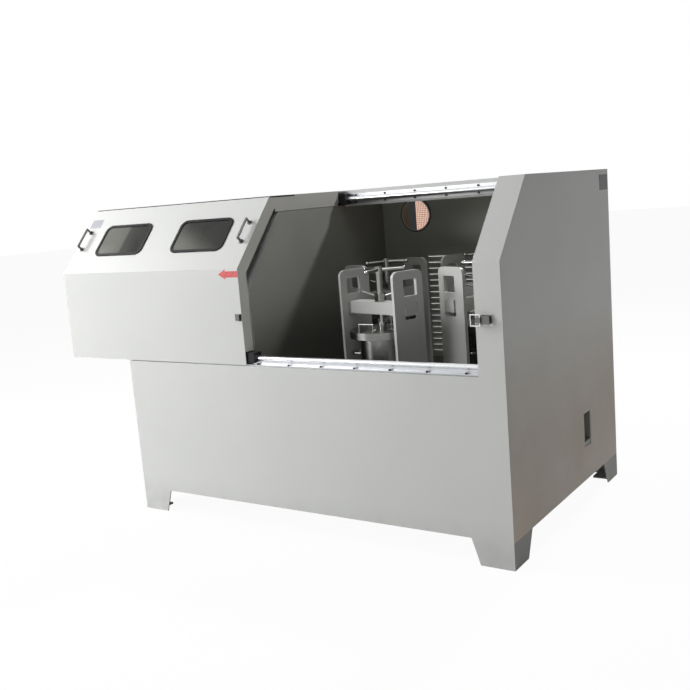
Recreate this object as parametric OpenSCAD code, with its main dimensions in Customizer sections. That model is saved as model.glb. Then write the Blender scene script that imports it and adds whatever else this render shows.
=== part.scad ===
// Planetary ball mill in a floor-standing sound enclosure with a sliding hood.
// Built from the cabinet's lower left front corner: X right, Y to the rear, Z up, in millimetres.
// The finished parts are moved so that the origin is the middle of the footprint, on the floor.

/* [Cabinet] */
// Width of the cabinet
cab_w = 1750; // [1650:10:1900]
// Depth of the cabinet
cab_d = 1115; // [1080:5:1250]
// Height of the cabinet
cab_h = 1315; // [1300:5:1400]
// Height at which the front starts to slope back
kink_z = 1048; // [1030:1:1080]
// Depth at which the slope meets the top
slant_y = 242; // [220:1:260]
// Height of the sill that carries the lower rail
sill_z = 665; // [650:1:680]
// Width of the fixed pillar at the right
pillar_w = 96; // [80:1:110]
// Thickness of the sheet steel
sheet_t = 2; // [1.5:0.5:3]
// Depth of the roof's front edge from the cabinet's front
roof_y = 790; // [780:1:800]
// Depth of the roof's folded front face
roof_fold = 70; // [60:1:75]
// Side of the frame's square tube
tube_s = 50; // [40:1:52]
// Wall of the frame's square tube
tube_wall = 3; // [2:0.5:5]
// Level of the beams that carry the chamber floor
floor_z = 250; // [240:1:256]

/* [Feet] */
// Height of the feet
foot_h = 96; // [80:1:100]
// Width of a foot at its top, seen from the front
foot_top_w = 158; // [140:1:180]
// Width of a foot at the floor, seen from the front
foot_tip_w = 127; // [100:1:138]
// Width of a foot at its top, seen from the side
foot_side_top = 162; // [140:1:180]
// Width of a foot at the floor, seen from the side
foot_side_tip = 118; // [100:1:138]
// Thickness of the foot plates
foot_t = 5; // [4:1:8]
// Side of the sole plate
sole_s = 80; // [60:1:95]

/* [Left compartment] */
// Width of the fixed compartment at the left
left_w = 656; // [640:1:680]
// Depth of its front wall behind the cabinet's front
left_front_y = 62; // [60:1:66]
// Height at which its front starts to slope
left_kink_z = 959; // [930:1:980]
// Depth at which its slope meets its top
left_slant_y = 290; // [270:1:320]
// Drop of its top below the cabinet's top
left_top_drop = 66; // [64:1:80]

/* [Hood] */
// Length of the sliding hood
hood_len = 1018; // [1000:1:1040]
// Gap between the hood's lower edge and the sill
hood_gap = 4; // [2:0.5:8]
// Gap left to the pillar and to the roof when the hood is shut
hood_close_gap = 2; // [1:0.5:4]
// Width of the flange at each end of the hood
flange_w = 52; // [40:1:54]
// Width of a window
window_w = 276; // [200:1:290]
// Height of a window, measured along the slope
window_h = 156; // [120:1:165]
// Corner radius of a window
window_r = 28; // [20:1:45]
// Distance of a window's lower edge from the kink, along the slope
window_s = 97; // [90:1:105]
// Distance of the first window's middle from the hood's left end
window_inset = 285; // [260:1:290]
// Distance between the middles of the two windows
window_pitch = 460; // [440:1:470]
// Thickness of the window glass
glass_t = 5; // [3:0.5:6]
// Width of the gasket's lip on the sheet
gasket_lip = 6; // [5:0.5:12]
// Distance of a handle from the hood's end
handle_inset = 40; // [30:1:60]
// Distance of a handle's middle from the kink, along the slope
handle_s = 180; // [160:1:200]
// Length of a handle
handle_len = 104; // [90:1:130]
// Diameter of a handle's bar
handle_d = 10; // [8:0.5:14]
// Height of a handle above the sheet
handle_h = 32; // [28:1:45]

/* [Rails] */
// Diameter of the rail shafts
rail_d = 20; // [16:1:22]
// Width of a rail's base
rail_base_w = 45; // [40:1:46]
// Thickness of a rail's base
rail_base_t = 5; // [4:0.5:6]
// Height of the shaft's axis above the mounting face
rail_axis_h = 27; // [26:0.5:30]
// Depth of the lower shaft behind the cabinet's front
rail_low_y = 32; // [30:1:34]
// Distance of the upper shaft below the cabinet's top
rail_up_drop = 39; // [38:1:41]
// Pitch of the rail screws
screw_pitch = 150; // [100:5:200]
// Place of the first lower screw
screw_low_x = 101; // [60:1:120]
// Place of the first upper screw
screw_up_x = 120; // [60:1:130]
// Spacing of the two screw rows
screw_rows = 30; // [26:1:32]
// Diameter of a screw head
screw_head_d = 8.5; // [6:0.5:10]
// Length of a bearing block
block_len = 60; // [45:1:75]
// Width of a bearing block
block_w = 48; // [44:1:50]
// Reach of the right-hand bearing blocks past the hood's edge
block_reach = 34; // [0:1:38]
// Radial clearance between a shaft and what turns or slides on it
run_gap = 0.05; // [0.02:0.01:0.1]

/* [Latch] */
// Height of the latch's middle
latch_z = 858; // [800:1:900]
// Length of the latch's base
latch_len = 62; // [55:1:70]
// Height of the latch's base
latch_h = 37; // [36:1:42]
// Reach of the closed latch in front of the cabinet
latch_reach = 20; // [20:0.5:24]

/* [Rear wall] */
// Place of the round port's middle, from the left
port_x = 836; // [800:1:900]
// Drop of the round port's middle below the cabinet's top
port_drop = 138; // [125:1:160]
// Radius of the round port
port_r = 72; // [50:1:75]
// Left edge of the louvre field
louvre_x = 868; // [850:1:900]
// Width of the louvre field
louvre_w = 772; // [700:1:780]
// Drop of the highest louvre slot below the cabinet's top
louvre_drop = 333; // [320:1:350]
// Number of louvre slots
louvre_n = 17; // [10:1:17]
// Pitch of the louvre slots
louvre_pitch = 28; // [24:0.5:29]
// Height of a louvre slot
louvre_gap = 8; // [5:0.5:12]
// Depth of the cable slot's middle in the right side
cable_y = 759; // [700:1:770]
// Width of the cable slot
cable_w = 74; // [60:1:80]
// Height of the cable slot's lower edge
cable_z = 229; // [200:1:270]
// Height of the cable slot
cable_h = 138; // [100:1:150]

/* [Electrical box] */
// Width of the electrical box
box_w = 200; // [160:5:240]
// Depth of the electrical box
box_d = 300; // [240:5:310]
// Height of the electrical box
box_h = 440; // [360:5:500]

/* [Planetary drive] */
// Place of the main axis, from the left
axis_x = 1206; // [1190:1:1210]
// Place of the main axis, from the front
axis_y = 558; // [550:1:575]
// Radius of the circle on which the four stations stand
station_r = 285.5; // [275:0.5:290]
// Angle of the first station on the turntable
carrier_angle = -108; // [-180:0.5:180]
// Angles of the four stations' clamps
station_turn = [-19.6, 65, -15, 69]; // [-180:0.2:180]
// Radius of the turntable
table_r = 395; // [370:1:400]
// Thickness of the turntable
table_t = 24; // [16:1:30]
// Level of the turntable's underside
table_z = 440; // [436:1:446]
// Radius of the main shaft
shaft_r = 40; // [30:1:42]
// Pitch radius of the fixed centre pulley
sun_pitch_r = 120; // [110:1:130]
// Pitch radius of a station's pulley
planet_pitch_r = 60; // [50:1:65]
// Pitch radius of the driven pulley
driven_pitch_r = 180; // [150:1:200]
// Pitch radius of the motor pulley
motor_pitch_r = 60; // [50:1:70]
// Pitch of the belt grooves
groove_pitch = 21; // [20:0.5:22]
// Radius of a station's shaft
planet_shaft_r = 25; // [18:1:28]
// Radius of the motor body
motor_r = 118; // [90:1:125]
// Length of the motor body
motor_len = 282; // [220:1:320]
// Radius of the motor shaft
motor_shaft_r = 19; // [14:1:24]
// Place of the motor, from the left
motor_x = 330; // [300:1:345]

/* [Stations] */
// Width of an upright plate
plate_w = 143; // [130:1:148]
// Thickness of an upright plate
plate_t = 13; // [10:0.5:16]
// Clear distance between a station's two plates
plate_gap = 310; // [304:1:316]
// Level of the plates' tops
plate_top_z = 1002; // [992:1:1008]
// Radius of the plates' upper corners
plate_corner_r = 25; // [10:1:28]
// Width of the upper window of a plate
slot_up_w = 64; // [50:1:72]
// Height of the upper window
slot_up_h = 62.5; // [50:0.5:68]
// Drop of the upper window below the plate's top
slot_up_drop = 32.5; // [28:0.5:40]
// Width of the lower window
slot_low_w = 64; // [64:1:72]
// Height of the lower window
slot_low_h = 63; // [56:0.5:70]
// Drop of the lower window below the plate's top
slot_low_drop = 121.5; // [120:0.5:126]
// Shift of the windows from a plate's middle, opposite on the two plates
slot_shift = 9; // [6:0.5:10]
// Height of the clamp's crossbeam
beam_h = 47; // [38:1:50]
// Width of the crossbeam
beam_w = 56; // [40:1:56]
// Turn of the crossbeam about the spindle, into its windows
beam_turn = 4; // [2:0.5:4.5]
// Diameter of the clamp spindle
spindle_d = 27; // [20:1:30]
// Height of the handle's arms above the plates' tops
handle_rise = 0; // [-4:1:12]
// Number of arms of the handle
arm_n = 3; // [2:1:4]
// Angles of the four handles
arm_turn = [33, 52, 40, 5]; // [-180:1:180]
// Length of an arm, from the spindle's axis
arm_len = 105; // [80:1:120]
// Diameter of an arm
arm_d = 14; // [10:0.5:18]
// Diameter of the ball at an arm's end
arm_ball_d = 18; // [18:0.5:22]
// Width across the corners of the lock nut
nut_d = 46; // [38:1:56]
// Height of the lock nut
nut_h = 32; // [26:1:36]

/* [Jars] */
// Outer diameter of a jar's wall
jar_d = 184; // [150:1:190]
// Thickness of a jar's wall
jar_wall = 6; // [3:0.5:10]
// Height of a jar without its lid
jar_h = 248; // [240:1:249]
// Thickness of a jar's bottom
jar_bottom = 12; // [6:1:20]
// Diameter of a jar's flange
jar_flange_d = 258; // [230:1:262]
// Thickness of a jar's flange
jar_flange_t = 12; // [8:1:16]
// Thickness of the lid's rim
lid_t = 14; // [12:0.5:16]
// Height of the boss on which the clamp presses
boss_h = 13; // [10:1:14]
// Radius of the boss on which the clamp presses
boss_r = 15; // [12:1:22]

/* [Hidden] */
$fn = 72;

paint = [0.80, 0.81, 0.79];
inner_paint = [0.45, 0.46, 0.44];
steel = [0.70, 0.71, 0.72];
black = [0.08, 0.08, 0.09];

// Gap that keeps welded or stacked pieces separate solids
weld_gap = 0.2;
// Clearance between curved faces that touch on the real machine
touch_gap = 0.3;
// Depth by which a belt's straight runs enter its turns, and how much slimmer they are
run_lap = 1;
run_inset = 0.05;

// Places in the cabinet
pillar_x = cab_w - pillar_w;
hood_x = left_w - hood_len;
hood_z = sill_z + hood_gap;
hood_rear_y = roof_y - hood_gap;
slant_a = atan2(cab_h - kink_z, slant_y);
origin_x = (hood_x + cab_w) / 2;
origin_y = (cab_d - latch_reach) / 2;
post_r_x = cab_w - sheet_t - tube_s;
post_b_y = cab_d - 2 * sheet_t - tube_s;
roof_in_z = cab_h - sheet_t;
left_top_z = cab_h - left_top_drop;
port_z = cab_h - port_drop;
louvre_z = cab_h - louvre_drop - (louvre_n - 1) * louvre_pitch;

// Rails and bearing blocks
rail_low_z = sill_z + rail_axis_h;
rail_up_y = roof_y - rail_axis_h;
rail_up_z = cab_h - rail_up_drop;
rail_x = 6;
rail_end_gap = 60;
rail_len = cab_w - rail_end_gap - rail_x;
web_w = 10;
web_foot_w = 16;
web_foot_h = 8;
block_top = 23;
block_bottom = 16;
block_slot_w = 14;
angle_t = 4;
angle_leg = 50;
block_start_x = 15;
flange_low_z = rail_low_z + block_top + angle_t + 1;
flange_rear_y = rail_up_y - block_top - angle_t - 1;

// Chamber floor and main bearing housing
floor_t = 6;
floor_top = floor_z + floor_t;
housing_low_z = 190;
housing_body_r = 80;
housing_flange_r = 130;
housing_flange_t = 20;
neck_r = 72;
neck_top_z = 372;
main_bearing_w = 22;
main_bearing_r = 62.5;
housing_bore_r = 48;
hub_r = 110;
hub_t = 20;
shaft_low_z = 120;

// Belts and grooves: a belt's section is a trapezoid around its pitch radius
belt_out = 4;
belt_in = 7;
belt_top_w = 17;
belt_low_w = 10;
sun_low_z = 280;
drive_belt_n = 3;
drive_low_z = housing_low_z - drive_belt_n * groove_pitch - 2;

// Stations, from the turntable up
planet_flange_r = 70;
planet_flange_t = 12;
planet_flange_z = table_z + table_t + 16;
holder_z = planet_flange_z + planet_flange_t;
holder_t = 20;
jar_z = holder_z + holder_t;
ring_h = 20;
ring_wall = 8;
housing_r = 52;
housing_top_r = 80;
housing_top_t = 12;
planet_housing_z = 378;
planet_bearing_r = 40;
planet_bearing_w = 16;
planet_bore_r = 34;
lid_z = jar_z + jar_h + weld_gap;
boss_top_z = lid_z + lid_t + boss_h;
foot_z = boss_top_z + weld_gap;
clamp_foot_h = 13;
clamp_foot_r = 18;
tip_r = 9;
tip_floor = 3;
tip_drop = 4;
slot_low_top_z = plate_top_z - slot_low_drop;
beam_top_z = slot_low_top_z - touch_gap;
beam_z = beam_top_z - beam_h;
arm_z = plate_top_z + handle_rise;
hub_h = 27;
nut_arm_len = 85;
nut_arm_d = 8;
nut_arm_tilt = 15;
nut_arm_drop = 12;
slot_side = [1, -1, 1, -1];

// Slope's outline at a distance d inside the cabinet's outer face, as [depth, height] points
function outline(d, low_z, rear_y) = [
    [d, low_z],
    [d, kink_z - d * (1 - sin(slant_a)) / cos(slant_a)],
    [(cos(slant_a) * (cab_h - d - kink_z) + d) / sin(slant_a), cab_h - d],
    [rear_y, cab_h - d]];
function backwards(list) = [for (i = [len(list) - 1:-1:0]) list[i]];
function strip(d0, d1, low_z, rear_y) =
    concat(outline(d0, low_z, rear_y), backwards(outline(d1, low_z, rear_y)));

// Outline of the left compartment, drawn d inside its outer face
left_a = atan2(left_top_z - left_kink_z, left_slant_y - left_front_y);
function left_outline(d) = [
    [left_front_y + d, sill_z],
    [left_front_y + d, left_kink_z - d * (1 - sin(left_a)) / cos(left_a)],
    [left_slant_y + d * (1 - cos(left_a)) / sin(left_a), left_top_z - d],
    [roof_y, left_top_z - d]];

// Place and angle of a station on the turntable
function station_angle(k) = carrier_angle + 90 * k;

module placed() { translate([-origin_x, -origin_y, 0]) children(); }
module at_axis() { translate([axis_x, axis_y, 0]) children(); }
module at_motor() { translate([motor_x, axis_y, 0]) children(); }
module on_circle(k) { at_axis() rotate([0, 0, station_angle(k)]) translate([station_r, 0, 0]) children(); }
module at_station(k) {
    on_circle(k) rotate([0, 0, station_turn[k] - station_angle(k)]) children();
}

// A [depth, height] outline made solid along the width
module across(x, length) { translate([x, 0, 0]) rotate([90, 0, 90]) linear_extrude(length) children(); }

// A [width, height] outline made solid along the depth, from y to y + length
module deep(y, length) {
    translate([0, y + length, 0]) rotate([90, 0, 0]) linear_extrude(length) children();
}

// The slope's own frame: X along the hood, Y up the slope from the kink, Z out of the sheet
module on_slope(x, s) {
    translate([x, s * cos(slant_a), kink_z + s * sin(slant_a)]) rotate([slant_a, 0, 0]) children();
}

module tube(r_out, r_in, z, h) {
    translate([0, 0, z]) linear_extrude(h) difference() { circle(r_out); circle(r_in); }
}
module disc(r, z, h) { translate([0, 0, z]) cylinder(r = r, h = h); }

module rounded(w, h, r) {
    square([w - 2 * r, h], center = true);
    square([w, h - 2 * r], center = true);
    for (x = [-1, 1], y = [-1, 1]) translate([x * (w / 2 - r), y * (h / 2 - r)]) circle(r);
}

// Square tube of the frame, hollow along its longest side
module beam(place, size) {
    length = max(size);
    hollow = [for (s = size) s == length ? s + 2 : s - 2 * tube_wall];
    ends = [for (s = size) s == length ? weld_gap : 0];
    translate(place + ends / 2) difference() {
        cube(size - ends);
        translate([for (s = size) s == length ? -1 : tube_wall]) cube(hollow);
    }
}

// One belt loop between a pulley at the origin and one at [d, 0]
module belt_section(r, grow = 0) {
    polygon([[r - belt_in - grow, -belt_low_w / 2 - grow], [r + belt_out + grow, -belt_top_w / 2 - grow],
             [r + belt_out + grow, belt_top_w / 2 + grow], [r - belt_in - grow, belt_low_w / 2 + grow]]);
}
module belt_loop(r1, r2, d, z) {
    wrap = acos((r1 - r2) / d);
    run = sqrt(d * d - (r1 - r2) * (r1 - r2));
    translate([0, 0, z]) {
        rotate([0, 0, wrap]) rotate_extrude(angle = 360 - 2 * wrap, $fn = 144) belt_section(r1);
        translate([d, 0, 0]) rotate([0, 0, -wrap])
            rotate_extrude(angle = 2 * wrap, $fn = 144) belt_section(r2);
        for (side = [0, 1]) mirror([0, side, 0]) rotate([0, 0, wrap]) translate([0, run_lap, 0])
            rotate([90, 0, 0]) linear_extrude(run + 2 * run_lap) belt_section(r1, -run_inset);
    }
}

// Pulley with n grooves, standing on z
module pulley(pitch_r, bore, z, n) {
    height = n * groove_pitch;
    translate([0, 0, z]) difference() {
        cylinder(r = pitch_r + belt_out - 0.5, h = height);
        translate([0, 0, -1]) cylinder(r = bore, h = height + 2);
        for (i = [0:n - 1]) translate([0, 0, (i + 0.5) * groove_pitch])
            rotate_extrude() belt_section(pitch_r, touch_gap);
    }
}

// Corner feet: two tapered plates and a sole, welded under the frame
module corner_foot() {
    deep(0, foot_t) polygon([[0, 0], [foot_tip_w, 0], [foot_top_w, foot_h], [0, foot_h]]);
    across(0, foot_t) polygon([[0, 0], [foot_side_tip, 0], [foot_side_top, foot_h], [0, foot_h]]);
    cube([sole_s, sole_s, 1.6 * foot_t]);
}
module feet() {
    color(paint) for (right = [0, 1], rear = [0, 1])
        translate([right * cab_w, rear * cab_d, 0]) mirror([right, 0, 0]) mirror([0, rear, 0]) corner_foot();
}

module base_frame() {
    far_x = post_r_x;
    far_y = post_b_y;
    inner_w = far_x - sheet_t - tube_s;
    inner_d = far_y - sheet_t - tube_s;
    in_x = sheet_t + tube_s;
    in_y = sheet_t + tube_s;
    ring_z = floor_z - tube_s;
    roof_beam_y = roof_y + sheet_t;
    roof_z = roof_in_z - tube_s;
    mid_x = left_w - sheet_t - tube_s;
    color(inner_paint) {
        // Bottom ring and the ring under the chamber floor
        for (z = [foot_h, ring_z]) {
            for (y = [sheet_t, far_y]) beam([in_x, y, z], [inner_w, tube_s, tube_s]);
            for (x = [sheet_t, far_x]) beam([x, in_y, z], [tube_s, inner_d, tube_s]);
        }
        // Corner posts: the front ones end under the sill, the rear ones under the roof
        for (x = [sheet_t, far_x]) {
            beam([x, sheet_t, foot_h], [tube_s, tube_s, sill_z - sheet_t - tube_s - foot_h]);
            beam([x, far_y, foot_h], [tube_s, tube_s, roof_z - foot_h]);
            beam([x, roof_beam_y, floor_z], [tube_s, tube_s, roof_z - floor_z]);
            beam([x, roof_beam_y, roof_z], [tube_s, far_y - roof_beam_y, tube_s]);
        }
        // Posts beside the partition and inside the pillar
        beam([mid_x, sheet_t, floor_z], [tube_s, tube_s, sill_z - sheet_t - tube_s - floor_z]);
        beam([mid_x, far_y, floor_z], [tube_s, tube_s, roof_z - floor_z]);
        beam([far_x, sheet_t, sill_z], [tube_s, tube_s, kink_z - sill_z - tube_s]);
        // Sill, roof front and roof rear
        beam([sheet_t, sheet_t, sill_z - sheet_t - tube_s], [cab_w - 2 * sheet_t, tube_s, tube_s]);
        beam([in_x, roof_beam_y, roof_z], [inner_w, tube_s, tube_s]);
        beam([sheet_t, far_y, roof_z], [cab_w - 2 * sheet_t, tube_s, tube_s]);
        // Cross beams under the main bearing, the partition and the motor
        for (x = [axis_x - housing_flange_r, axis_x + housing_flange_r - tube_s, mid_x,
                  motor_x - motor_r - tube_s, motor_x + motor_r])
            beam([x, in_y, ring_z], [tube_s, inner_d, tube_s]);
        // Motor plate with its opening for the pulley
        difference() {
            translate([motor_x - motor_r - tube_s, axis_y - motor_r - tube_s, floor_z + weld_gap])
                cube([2 * (motor_r + tube_s), 2 * (motor_r + tube_s), 2 * floor_t]);
            at_motor() disc(motor_r - 20, floor_z - 1, 2 * floor_t + 4);
        }
    }
}

module front_panel() {
    color(paint) {
        deep(0, sheet_t) polygon([[0, foot_h], [cab_w, foot_h], [cab_w, kink_z - 1], [pillar_x, kink_z - 1],
                                  [pillar_x, sill_z], [0, sill_z]]);
        across(pillar_x, pillar_w) polygon(strip(0, sheet_t, sill_z - 1, roof_y));
        across(pillar_x, sheet_t) polygon(strip(0, flange_w, flange_low_z, flange_rear_y));
        translate([0, 0, sill_z - sheet_t]) cube([cab_w - sheet_t, left_front_y + sheet_t, sheet_t]);
        translate([sheet_t, left_front_y, sill_z - foot_h / 4])
            cube([cab_w - 2 * sheet_t, sheet_t, foot_h / 4]);
    }
}

module right_side_panel() {
    color(paint) difference() {
        across(cab_w - sheet_t, sheet_t)
            polygon(concat([[cab_d - sheet_t, foot_h], [sheet_t, foot_h]],
                           outline(sheet_t, foot_h + 1, cab_d - sheet_t)));
        translate([cab_w - 2 * sheet_t, cable_y - cable_w / 2, cable_z])
            cube([3 * sheet_t, cable_w, cable_h]);
    }
}

module left_side_panel() {
    shelf_y = left_front_y + sheet_t;
    color(paint) across(0, sheet_t)
        polygon(concat([[cab_d - sheet_t, foot_h], [sheet_t, foot_h], [sheet_t, sill_z - sheet_t],
                        [shelf_y, sill_z - sheet_t], [shelf_y, sill_z]],
                       left_outline(0), [[roof_y, roof_in_z], [cab_d - sheet_t, roof_in_z]]));
}

module rear_panel() {
    color(paint) difference() {
        translate([0, cab_d - sheet_t, foot_h]) cube([cab_w, sheet_t, roof_in_z - foot_h]);
        translate([louvre_x, cab_d - 2 * sheet_t, louvre_z - louvre_pitch / 2])
            cube([louvre_w, 3 * sheet_t, louvre_n * louvre_pitch]);
        deep(cab_d - 2 * sheet_t, 3 * sheet_t) translate([port_x, port_z]) circle(port_r);
    }
}

// Louvre field: a slotted plate behind the opening of the rear panel
module louvre_panel() {
    edge = 20;
    height = louvre_n * louvre_pitch;
    color(inner_paint) deep(cab_d - sheet_t - 3, 3) difference() {
        translate([louvre_x - edge, louvre_z - louvre_pitch / 2 - edge])
            square([louvre_w + 2 * edge, height + 2 * edge]);
        for (i = [0:louvre_n - 1]) translate([louvre_x + edge, louvre_z + i * louvre_pitch - louvre_gap / 2])
            square([louvre_w - 2 * edge, louvre_gap]);
    }
}

module roof_panel() {
    color(paint) {
        translate([0, roof_y, roof_in_z]) cube([cab_w, cab_d - roof_y, sheet_t]);
        translate([sheet_t, roof_y, cab_h - roof_fold]) cube([cab_w - 2 * sheet_t, sheet_t, roof_fold]);
    }
}

// Fixed shell at the left and the partition between it and the chamber
module left_compartment() {
    wall_x = left_w - sheet_t;
    beam_gap = 2;
    color(paint) across(sheet_t, wall_x - sheet_t - weld_gap)
        polygon(concat(left_outline(0), backwards(left_outline(sheet_t))));
    color(inner_paint) across(wall_x, sheet_t)
        polygon(concat([[post_b_y, floor_top], [left_front_y + sheet_t, floor_top],
                        [left_front_y + sheet_t, sill_z]],
                       left_outline(0),
                       [[roof_y, cab_h - roof_fold - beam_gap],
                        [roof_y + sheet_t + tube_s + beam_gap, cab_h - roof_fold - beam_gap],
                        [roof_y + sheet_t + tube_s + beam_gap, roof_in_z], [post_b_y, roof_in_z]]));
}

module chamber_floor() {
    color(inner_paint) difference() {
        translate([left_w - sheet_t, sheet_t + tube_s, floor_z])
            cube([post_r_x - left_w + sheet_t, post_b_y - sheet_t - tube_s, floor_t]);
        at_axis() disc(housing_body_r, floor_z - 1, floor_t + 2);
    }
}

// Cross-section of a rail's base, with the shaft's axis at [0, rail_axis_h]
module rail_section() {
    difference() {
        union() {
            translate([-rail_base_w / 2, 0]) square([rail_base_w, rail_base_t]);
            translate([-web_foot_w / 2, 0]) square([web_foot_w, web_foot_h]);
            translate([-web_w / 2, 0]) square([web_w, rail_axis_h - rail_d / 2 + 1.5]);
        }
        translate([0, rail_axis_h]) circle(rail_d / 2);
    }
}
// Frames of the two rails: the section's foot lies on the sill or on the roof's fold
module on_low_rail() { translate([0, rail_low_y, sill_z]) rotate([90, 0, 90]) children(); }
module on_up_rail() { translate([0, roof_y, rail_up_z]) rotate(a = 180, v = [1, 0, 1]) children(); }

module rail_bases() {
    color([0.85, 0.86, 0.87]) {
        on_low_rail() translate([0, 0, rail_x]) linear_extrude(rail_len) rail_section();
        on_up_rail() translate([0, 0, rail_x]) linear_extrude(rail_len) rail_section();
    }
}
module rail_shafts() {
    color(steel) {
        on_low_rail() translate([0, rail_axis_h, rail_x]) cylinder(d = rail_d, h = rail_len);
        on_up_rail() translate([0, rail_axis_h, rail_x]) cylinder(d = rail_d, h = rail_len);
    }
}
module rail_screws() {
    head_h = 5;
    count = floor((rail_len - screw_low_x) / screw_pitch);
    color(black) for (i = [0:count], row = [-1, 1]) {
        translate([screw_low_x + i * screw_pitch, rail_low_y + row * screw_rows / 2, sill_z + rail_base_t])
            cylinder(d = screw_head_d, h = head_h);
        translate([screw_up_x + i * screw_pitch, roof_y - rail_base_t, rail_up_z + row * screw_rows / 2])
            rotate([90, 0, 0]) cylinder(d = screw_head_d, h = head_h);
    }
}

// Round port in the rear wall: a ring, a wire mesh and a half baffle
module vent_port() {
    wire = 1.6;
    pitch = 9;
    ring_w = 8;
    color([0.72, 0.45, 0.32]) translate([port_x, cab_d - sheet_t, port_z]) rotate([90, 0, 0]) {
        tube(port_r + ring_w, port_r - 2, 0, 6);
        translate([0, 0, 2]) linear_extrude(wire) intersection() {
            circle(port_r);
            for (i = [-floor(port_r / pitch):floor(port_r / pitch)]) {
                translate([i * pitch - wire / 2, -port_r]) square([wire, 2 * port_r]);
                translate([-port_r, i * pitch - wire / 2]) square([2 * port_r, wire]);
            }
        }
        linear_extrude(1) intersection() {
            circle(port_r);
            translate([-port_r, -port_r]) square([port_r, 2 * port_r]);
        }
    }
}

module bearing_housing() {
    body_h = neck_top_z - housing_low_z;
    color([0.30, 0.36, 0.42]) at_axis() difference() {
        union() {
            disc(housing_body_r, housing_low_z, floor_top - housing_low_z);
            disc(housing_flange_r, floor_top, housing_flange_t);
            disc(neck_r, housing_low_z, body_h);
        }
        disc(housing_bore_r, housing_low_z - 1, body_h + 2);
        disc(main_bearing_r, housing_low_z - 1, main_bearing_w + 1);
        disc(main_bearing_r, neck_top_z - main_bearing_w, main_bearing_w + 1);
    }
}
module main_bearings() {
    color(steel) at_axis() for (z = [housing_low_z, neck_top_z - main_bearing_w])
        tube(main_bearing_r, shaft_r + run_gap, z, main_bearing_w);
}
module sun_pulley() { color([0.25, 0.25, 0.27]) at_axis() pulley(sun_pitch_r, neck_r, sun_low_z, 4); }

module motor() {
    fin_n = 28;
    fin_h = 10;
    fin_t = 3;
    lap = 1;
    low_z = floor_z + 2 * floor_t + 2 * weld_gap;
    flange_t = 16;
    body_z = low_z + flange_t;
    cap_h = 50;
    terminal_s = 120;
    terminal_d = 50;
    terminal_lap = 30;
    color([0.22, 0.32, 0.45]) at_motor() difference() {
        union() {
            disc(motor_r + 15, low_z, flange_t);
            disc(motor_r - fin_h, body_z, motor_len);
            for (i = [0:fin_n - 1]) rotate([0, 0, i * 360 / fin_n])
                translate([motor_r / 2, -fin_t / 2, body_z - lap])
                    cube([motor_r / 2 - lap, fin_t, motor_len - cap_h + 2 * lap]);
            disc(motor_r, body_z + motor_len - cap_h, cap_h);
            translate([-terminal_s / 2, motor_r - terminal_lap, body_z + (motor_len - terminal_s) / 2])
                cube([terminal_s, terminal_d + terminal_lap, terminal_s]);
        }
        disc(motor_shaft_r + run_gap, low_z - 1, motor_len / 2);
    }
}
module drive_belts() {
    color(black) at_motor() for (i = [0:drive_belt_n - 1])
        translate([axis_x - motor_x, 0, 0]) rotate([0, 0, 180])
            belt_loop(driven_pitch_r, motor_pitch_r, axis_x - motor_x, drive_low_z + (i + 0.5) * groove_pitch);
}

// Electrical enclosure on the partition, with its door
module control_box() {
    door_t = 18;
    door_gap = 0.5;
    door_edge = 4;
    rear_gap = 21;
    color([0.75, 0.76, 0.78]) translate([left_w - sheet_t - box_w, post_b_y - rear_gap - box_d, sill_z]) {
        cube([box_w, box_d, box_h]);
        translate([-door_t - door_gap, door_edge, door_edge])
            cube([door_t, box_d - 2 * door_edge, box_h - 2 * door_edge]);
    }
}

// Toggle latch on the pillar; its lever turns about a pin and carries the wire bail
latch_x = pillar_x + 2;
pin_x = latch_x + 8;
pin_y = -9;
bail_dx = 13;
bail_dy = 16.5;
lever_w = 28;
ear_gap = 19.4;
pin_r = 2;
bail_r = 1.75;
bail_len = 33;
module latch_base() {
    ear_t = 2;
    color(steel) {
        translate([latch_x, -2, latch_z - latch_h / 2]) cube([latch_len, 2, latch_h]);
        for (side = [-1, 1])
            translate([pin_x - 6, pin_y - 5, latch_z + side * (ear_gap + ear_t) / 2 - ear_t / 2])
            cube([12, -pin_y + 4, ear_t]);
        translate([pin_x, pin_y, latch_z - ear_gap / 2 - ear_t]) cylinder(r = pin_r, h = ear_gap + 2 * ear_t);
        for (side = [-1, 1]) translate([latch_x + latch_len - 6, -2, latch_z + side * 10])
            rotate([90, 0, 0]) cylinder(r = 3, h = 1.5);
    }
}
module latch_lever() {
    knuckle = ear_gap - 2 * touch_gap;
    lever_len = 46;
    lever_t = 3;
    neck_len = 10;
    color(steel) difference() {
        union() {
            translate([pin_x, pin_y, latch_z - knuckle / 2]) cylinder(r = 4.5, h = knuckle);
            translate([pin_x, pin_y - 3.5, latch_z - knuckle / 2]) cube([neck_len, lever_t, knuckle]);
            translate([pin_x + neck_len - 1, pin_y - 3.5, latch_z - lever_w / 2])
                cube([lever_len - neck_len + 1, lever_t, lever_w]);
            translate([pin_x + lever_len - lever_t, pin_y - 7, latch_z - lever_w / 2])
                cube([lever_t, 6, lever_w]);
            translate([pin_x + bail_dx - 3, -latch_reach, latch_z - 9])
                cube([6, latch_reach + pin_y - 2, 18]);
        }
        translate([pin_x, pin_y, latch_z - knuckle]) cylinder(r = pin_r + run_gap, h = 2 * knuckle);
        translate([pin_x + bail_dx, -bail_dy, latch_z - knuckle]) cylinder(r = bail_r + run_gap, h = 2 * knuckle);
    }
}
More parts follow.
